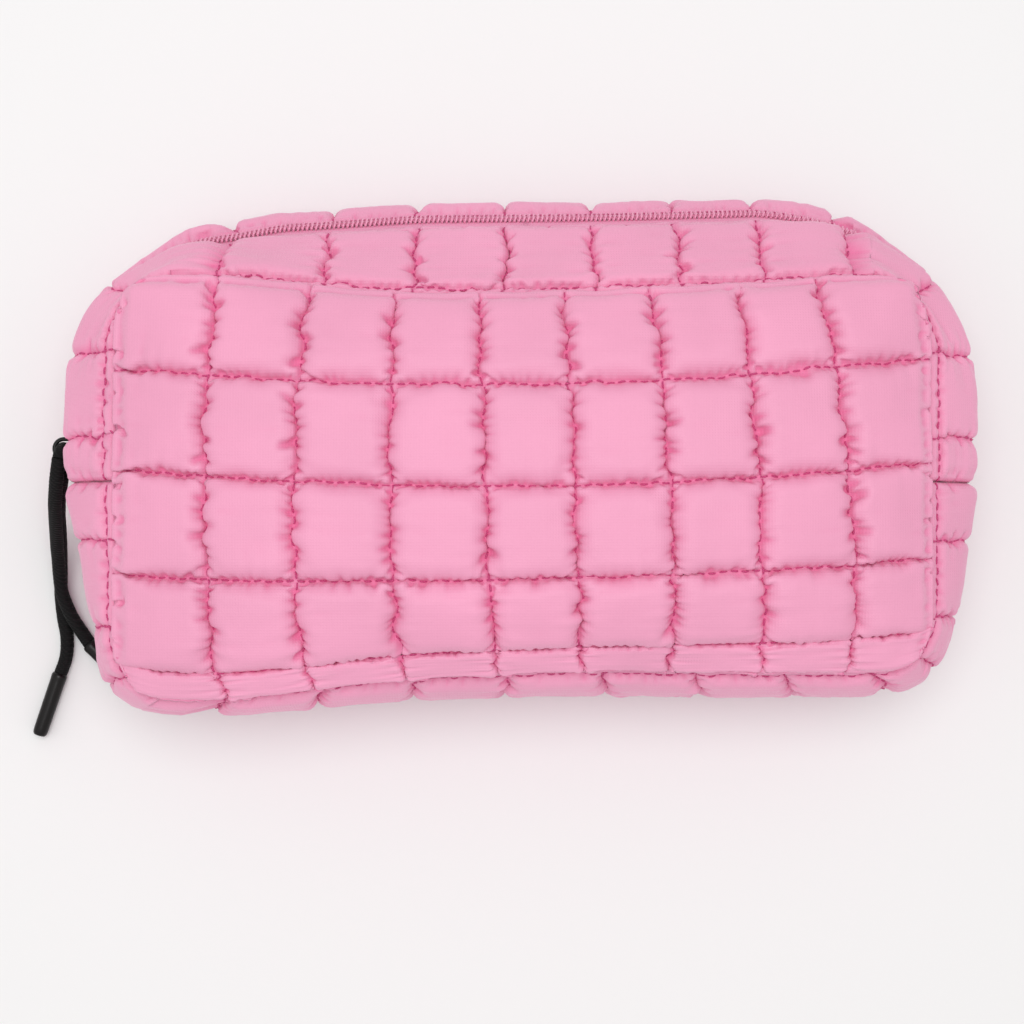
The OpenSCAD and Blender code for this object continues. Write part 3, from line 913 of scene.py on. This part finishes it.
def cloth_layers(name, cad, base, points, painted_shade, thickness, body=None, joint=None):
    """The outer cloth, wadding and lining of one quilted piece, in place of the CAD solids named cad."""
    shell_depth, wadding_depth, lining_depth = thickness
    outward = grid_normals(base)
    shell = solid_between(points, points - grid_normals(points) * shell_depth)

    pick = np.ix_(spaced(base.shape[0], 7, 4), spaced(base.shape[1], 7, 4))
    height = lowest_nearby(((points - base) * outward).sum(-1), 5)[pick][..., None]
    top = base[pick] + outward[pick] * np.maximum(height - 1.2, 0.4 - wadding_depth)
    wadding = solid_between(top, base[pick] - outward[pick] * wadding_depth)

    pick = np.ix_(spaced(base.shape[0], 1, 4), spaced(base.shape[1], 0, 4))
    rng = np.random.default_rng(SEED + 7)
    ripple = np.clip(0.25 * smooth_noise(rng, base[pick].shape[:2], 2.0, 2.0), -0.3, 0.6)
    face = base[pick] - outward[pick] * (wadding_depth + 0.2)
    lining = solid_between(face, base[pick] - outward[pick] * (lining_depth + 0.35 + ripple)[..., None])

    for layer, ending, solid, material, slot in (
        ("shell", "_cloth", shell, NYLON, "nylon"),
        ("wadding", "_fill", wadding, WADDING, "wadding"),
        ("lining", "_cloth", lining, LINING, "lining"),
    ):
        piece = make_piece(name + "_" + layer + ending, *solid, material, slot, body)
        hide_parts(cad + "_" + layer)
        if joint:
            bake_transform(piece)
        # Only the outer cloth carries the painted shade of its stitch lines and creases.
        if layer == "shell":
            store_shade_map(piece, np.concatenate([painted_shade.ravel(), painted_shade.ravel()]))


def sewn_lines(points, rows_sewn, columns_sewn):
    """The lines of points along the stitches, edges left out, with the way up from each."""
    up = grid_normals(points)
    lines = [(points[r], up[r]) for r in rows_sewn[1:-1]]
    lines += [(points[:, c], up[:, c]) for c in columns_sewn[1:-1]]
    return lines


def make_stitches(name, lines, body=None, **dash):
    points, faces = dashes(lines, **dash)
    return make_piece(name + "_stitches", points, faces, THREAD, "thread", body)


def make_front_panel():
    rng = np.random.default_rng(SEED)
    x, y, v, u = quilt_grid(FRONT_COLUMNS, FRONT_ROWS, 25, 26)
    flat_last_row = 1 - 0.6 * smooth_step((-56.5 - y) / 3)
    points, painted_shade, base, v, u = quilt(
        front_base(x, y), v, u, rng, gather_r=0.26, gather_c=0.07, puff=4.0, sink=0.4, edge_sink=2.6,
        rounds=60, flat_edge=2.5, fullness=flat_last_row, slack=0.07,
    )
    cloth_layers("front_panel", "front_panel", base, points, painted_shade, PANEL_THICKNESS, "bag")
    make_stitches("front_panel", sewn_lines(points, v, u), "bag")


def make_back_panel():
    rng = np.random.default_rng(SEED + 1)
    columns_at = [(HALF_LENGTH - 2 * HALF_LENGTH * k / 9,) * 3 for k in range(10)]
    height = BACK_SEAM_Y - BASE_SEAM_Y
    rows_at = [(BACK_SEAM_Y - height * k / 5,) * 3 for k in range(6)]
    x, y, v, u = quilt_grid(columns_at, rows_at, 14, 14)
    points, painted_shade, base, v, u = quilt(
        back_base(x, y), v, u, rng, gather_r=0.12, gather_c=0.06, puff=3.6, sink=0.2, edge_sink=2.2,
        rounds=35, floor_z=0.03,
    )
    cloth_layers("back_panel", "back_panel", base, points, painted_shade, BACK_THICKNESS, "bag")
    make_stitches("back_panel", sewn_lines(points, v, u), "bag", radius=0.25)


def seam_inset(t, deepest):
    """How far in the padding between a gusset's two seams starts, in mm, before it is blown up."""
    return deepest * np.sqrt(np.clip(np.sin(np.pi * t), 0, 1))


def make_base_gusset():
    rng = np.random.default_rng(SEED + 2)
    crossings = [2.5 - x / 184 for x in (90, 67, 44, 21, -4, -27, -51, -76)]
    marks = [0, 0.42, 1.0, 1.5] + crossings + [3.5, 4.0, 4.58, 5]
    lengths = [16, 23, 14, 14] + [23] * 7 + [17, 14, 23, 16]
    u, u_sewn = stations(marks, np.array(lengths) / 1.25)
    t, t_sewn = stations([0, 0.06, 0.5, 0.94, 1], [2, 18, 18, 2])
    tt, uu = np.meshgrid(t, u, indexing="ij")
    base = base_path(uu, tt, seam_inset(tt, 1.5))
    points, painted_shade, base, t_sewn, u_sewn = quilt(
        base, t_sewn, u_sewn, rng, gather_r=0.20, gather_c=0.08, puff=2.4, sink=0.2, edge_sink=1.5,
        rounds=50,
    )
    points[..., 2] = np.maximum(points[..., 2], GUSSET_LOWEST)
    cloth_layers("base_gusset", "base_gusset", base, points, painted_shade, GUSSET_THICKNESS, "bag")
    make_stitches("base_gusset", sewn_lines(points, t_sewn, u_sewn), "bag")


SPLIT_AT = 6              # the quilt crossing where a zip strip's left and right halves meet


def zip_joint(side, flap):
    """What a half of the zip lies between: the bag at its end, and the flap past the corner."""
    sign = -1 if side == "left" else 1
    return "bag", flap, (sign * BEND_FROM_X, BEND_Y, BEND_Z), (sign * BEND_TO_X, BEND_Y, BEND_Z)


def zip_strip(name, flap, t_from, t_to, seed):
    """One quilted strip beside the zip, in two halves that each run from an end of the bag to the flap."""
    rng = np.random.default_rng(seed)
    crossings = [2.5 + x / 193 for x in (-84, -55, -30, -5, 20, 44, 67, 92)]
    marks = [0, 0.33, 0.95, 1.5] + crossings + [3.5, 4.05, 4.67, 5]
    lengths = [12, 22, 17, 30] + [29, 25, 25, 25, 24, 23, 25] + [22, 17, 22, 12]
    u, u_sewn = stations(marks, np.array(lengths) / 1.15)
    rows, band = 25, 3
    margin = lerp(0.075, 0.045, smooth_step(np.minimum(u, 5 - u) - 1.0))
    if t_from == 0:
        t_sewn = np.array([0, band, rows])
        marks_t = [margin * 0, margin, margin * 0 + t_to]
    else:
        t_sewn = np.array([0, rows - band, rows])
        marks_t = [margin * 0 + t_from, 1 - margin, margin * 0 + 1]
    tt = np.array([np.interp(np.arange(rows + 1), t_sewn, at) for at in zip(*marks_t)]).T
    share = np.abs(tt - 0.5) * 2
    base = zip_path(np.broadcast_to(u, tt.shape), tt, 1.7 * np.sqrt(np.clip(1 - share**2, 0, 1)))
    points, painted_shade, base, t_sewn, u_sewn = quilt(
        base, t_sewn, u_sewn, rng, gather_r=0.20, gather_c=0.12, puff=2.6, sink=0.2, edge_sink=1.5,
        rounds=50,
    )
    points[..., 2] = np.maximum(points[..., 2], GUSSET_LOWEST)
    up = grid_normals(points)
    split = u_sewn[SPLIT_AT + 1]
    for side, cad, part, sewn in (
        ("left", name + "_ends", slice(0, split + 1), u_sewn[u_sewn <= split]),
        ("right", flap, slice(split, None), u_sewn[u_sewn >= split] - split),
    ):
        joint = zip_joint(side, flap)
        half, half_up = points[:, part], up[:, part]
        cloth_layers(
            name + "_" + side, cad, base[:, part], half, painted_shade[:, part], GUSSET_THICKNESS, joint=joint
        )
        lines = [(half[:, c], half_up[:, c]) for c in sewn[1:-1]]
        lines += [(half[r], half_up[r]) for r in t_sewn[1:-1]]
        if side == "left":
            lines.append((points[:, split], up[:, split]))
        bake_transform(make_stitches(name + "_" + side, lines))


def make_zip_strips():
    zip_strip("front_strip", "front_flap", 0.0, ZIP_EDGE, SEED + 3)
    zip_strip("back_strip", "back_flap", ZIP_EDGE_BACK, 1.0, SEED + 4)


# ---------------------------------------------------------------- the zip
ZIP_DEPTH = 1.7           # how far the coils lie inside the outer face
TAPE_DEPTH = 2.4
ZIP_STATIONS = 420
COIL_LOOPS = 140          # in each half of each coil


def coil_path(u_from, u_to, coil_t):
    """The centreline of a coil's wire, with its loops evenly spaced along the zip."""
    turn = np.linspace(0, COIL_LOOPS * 2 * np.pi, COIL_LOOPS * 10 + 1)
    fine = np.linspace(u_from, u_to, 600)
    run = run_length(zip_path(fine, 0.5, ZIP_DEPTH))
    along = np.interp(turn / turn[-1] * run[-1], run, fine)
    ahead = unit(np.gradient(zip_path(along, 0.5, ZIP_DEPTH), axis=0))
    across = unit(zip_path(along, 0.505, ZIP_DEPTH) - zip_path(along, 0.495, ZIP_DEPTH))
    out = unit(np.cross(across, ahead))
    loop = across * 0.75 * np.cos(turn)[:, None] + out * 0.62 * np.sin(turn)[:, None]
    return zip_path(along, coil_t, ZIP_DEPTH) + loop


def make_zip():
    u = np.linspace(0, 5, ZIP_STATIONS)
    split = ZIP_STATIONS // 2
    for key, flap, edge, coil_t, sewn_row in (
        ("front", "front_flap", 0.44, 0.490, 1),
        ("back", "back_flap", 0.575, 0.510, 4),
    ):
        beside_coil = 0.5 + (coil_t - 0.5) * 0.72
        span_t = (edge, beside_coil) if key == "front" else (beside_coil, edge)
        tt, uu = np.meshgrid(np.linspace(*span_t, 6), u, indexing="ij")
        tape = zip_path(uu, tt, TAPE_DEPTH)
        for side, part in (("left", slice(0, split + 1)), ("right", slice(split, None))):
            joint = zip_joint(side, flap)
            cad = {
                "left": (key + "_tape_ends", key + "_coil_ends"),
                "right": (flap + "_tape", flap + "_coil"),
            }[side]
            outer = tape[:, part]
            up = grid_normals(outer)
            points, faces = solid_between(outer, outer - up * 0.6)
            piece = make_piece(key + "_tape_" + side, points, faces, TAPE, "zip_tape")
            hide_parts(cad[0])
            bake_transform(piece)
            line = [(outer[sewn_row], up[sewn_row])]
            piece = make_stitches(key + "_tape_" + side, line, length=2.0, gap=0.7, radius=0.28)
            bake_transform(piece)
            points, faces = tube(coil_path(u[part][0], u[part][-1], coil_t), 0.33, 6)
            piece = make_piece(key + "_coil_" + side, points, faces, COIL, "zip_coil")
            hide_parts(cad[1])
            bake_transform(piece)


def make_bindings():
    """The tape folded over the raw edges of the front and back seams, inside the bag."""
    inset = 5.4
    count = 360
    angle = np.arange(count) * 2 * np.pi / count
    out = np.stack([np.cos(angle), np.sin(angle)], -1)
    for key, low, high, top_y in (("front", 46.0, 54.0, FRONT_SEAM_Y), ("back", 5.6, 13.0, BACK_SEAM_Y)):
        rng = np.random.default_rng(SEED + 9)
        half = np.array([HALF_LENGTH - inset, (top_y - BASE_SEAM_Y) / 2 - inset])
        r = CORNER_R - inset
        middle_y = (top_y + BASE_SEAM_Y) / 2
        edge = np.sign(out) * np.abs(out) ** 0.28 * (half - r) + r * out
        ripple = 0.15 * np.sin(angle * 61) + 0.1 * rng.standard_normal(count)
        rings = []
        for offset, z in ((0.0, low), (0.35, (low + high) / 2), (0.0, high), (-1.2, high), (-1.2, low)):
            xy = edge + unit(out) * offset
            rings.append(np.stack([xy[:, 0], xy[:, 1] + middle_y, z + ripple * (z == high)], -1))
        faces = []
        for k in range(len(rings)):
            for m in range(count):
                a, b = k * count + m, k * count + (m + 1) % count
                c = (k + 1) % len(rings) * count
                faces.append((a, b, c + (m + 1) % count, c + m))
        points = np.concatenate(rings)
        piece = make_piece(key + "_binding_tape", points, faces, BINDING, "binding", "bag")
        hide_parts(key + "_seam_binding")


def make_bail(paint):
    """The slider's bail as a bent wire that the cord is looped through."""
    low, high = (np.array(corner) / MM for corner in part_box("slider_bail"))
    wire = 0.6
    middle_y, z = (low[1] + high[1]) / 2, (low[2] + high[2]) / 2
    half = (high[1] - low[1]) / 2 - wire
    angle = np.linspace(-np.pi / 2, np.pi / 2, 17)
    bow_x = low[0] + wire + half - half * np.cos(angle)
    bow_y = middle_y + half * np.sin(angle)
    bow = np.stack([bow_x, bow_y, np.full(len(angle), z)], -1)
    start = np.array([[high[0] - 0.1, middle_y - half, z]])
    end = np.array([[high[0] - 0.1, middle_y + half, z]])
    path = smooth_route(np.concatenate([start, bow, end]), 0.3)
    points, faces = tube(path, wire, 12)
    piece = make_piece("slider_bail_wire", points, faces, paint, "zip_metal", "slider")
    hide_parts("slider_bail")


def finish_metal():
    paint = moulded_material("black_paint", (0.006, 0.006, 0.006), 0.4, 0.3)
    make_bail(paint)
    for name in ("slider_body", "zip_stop_left", "zip_stop_right"):
        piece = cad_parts[name]
        for slot in piece.material_slots:
            slot.material = paint


make_camera()
make_cords()
make_stage()
# The second colour of each nylon is painted shade for the stitch lines and creases; that of the thread and
# the coil is painted shade between their strands.
NYLON = nylon_material("pink_nylon", (0.85, 0.355, 0.53), (0.80, 0.19, 0.38))
WADDING = wadding_material()
LINING = nylon_material("pink_lining", (0.86, 0.40, 0.56), (0.70, 0.20, 0.35), 0.1)
THREAD = spun_material("pink_thread", (0.62, 0.08, 0.24), (0.45, 0.04, 0.15), 900.0, 0.6)
TAPE = nylon_material("pink_tape", (0.82, 0.33, 0.50), (0.6, 0.1, 0.25), 0.5)
COIL = spun_material("pink_coil", (0.84, 0.36, 0.52), (0.76, 0.27, 0.43), 500.0, 0.42)
BINDING = nylon_material("pink_binding", (0.80, 0.33, 0.50), (0.6, 0.1, 0.25), 0.3)
make_front_panel()
make_back_panel()
make_base_gusset()
make_zip_strips()
make_zip()
make_bindings()
finish_metal()
